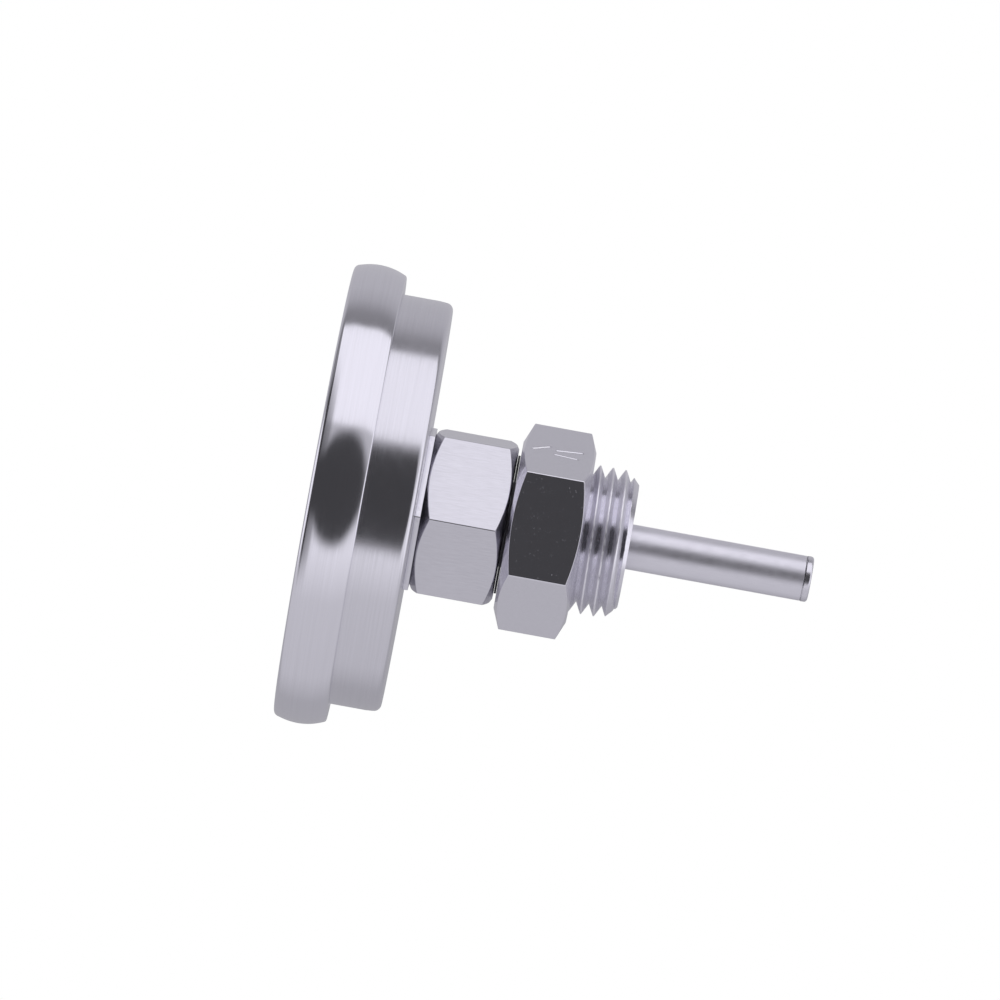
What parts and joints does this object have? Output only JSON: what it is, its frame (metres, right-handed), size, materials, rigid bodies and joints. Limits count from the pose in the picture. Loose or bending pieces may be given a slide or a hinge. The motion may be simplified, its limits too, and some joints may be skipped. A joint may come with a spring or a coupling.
{
  "type": "dial thermometer",
  "caption": "Rear-entry bimetal dial thermometer with a round metal case, a short probe stem and a swivelling threaded union for a vessel wall.",
  "frame": {"origin": "centre of the union's sealing face, where its external thread meets its hex", "axes": "+Y along the stem, away from the dial; -Y is the way the dial faces; +Z is 12 o'clock on the dial; +X is the reader's right"},
  "size_m": [0.065, 0.0706, 0.065],
  "materials": {
    "case_steel": "polished stainless sheet",
    "neck_steel": "drawn hexagon bar, brushed along its length, turned ends",
    "union_steel": "drawn hexagon bar, fine matt flats, cut thread",
    "stem_steel": "satin drawn stainless tube, welded end",
    "fixing_steel": "turned and stamped steel",
    "window": "clear flat glass",
    "seal_rubber": "matt black",
    "seat_black": "satin black",
    "dial_white": "satin white enamel, black scale",
    "pointer_black": "satin black enamel",
    "brass": "turned brass",
    "bimetal": "rolled bimetal strip",
    "ptfe": "white PTFE"
  },
  "bodies": {
    "union": {"union_fitting": "union_steel"},
    "housing": {"bezel_ring": "case_steel", "window_glass": "window", "window_gasket": "seal_rubber", "window_seat_ring": "seat_black", "dial_plate": "dial_white", "dial_screw_left": "fixing_steel", "dial_screw_right": "fixing_steel", "dial_post_left": "brass", "dial_post_right": "brass", "stop_pin": "brass", "case_cup": "case_steel", "case_washer": "neck_steel", "lock_washer": "fixing_steel", "case_lock_nut": "fixing_steel", "neck_hex": "neck_steel", "swivel_washer": "ptfe", "union_o_ring": "seal_rubber", "union_snap_ring": "fixing_steel", "stem_tube": "stem_steel", "stem_tip_plug": "stem_steel", "helix_anchor": "brass", "bimetal_helix": "bimetal", "upper_bearing_bush": "brass", "mid_guide_bush": "brass"},
    "movement": {"pointer": "pointer_black", "pointer_hub": "brass", "spindle": "fixing_steel", "helix_collar": "brass"}
  },
  "joints": [
    {"name": "union_swivel", "type": "hinge", "parent": "union", "child": "housing", "pos_m": [0, -0.005, 0], "axis": [0, 1, 0], "continuous": true},
    {"name": "pointer_sweep", "type": "hinge", "parent": "housing", "child": "movement", "pos_m": [0, -0.0334, 0], "axis": [0, 1, 0], "range_deg": [-45, 225], "stiffness_Nm_per_rad": 0.003, "deforming": ["bimetal_helix"]}
  ]
}
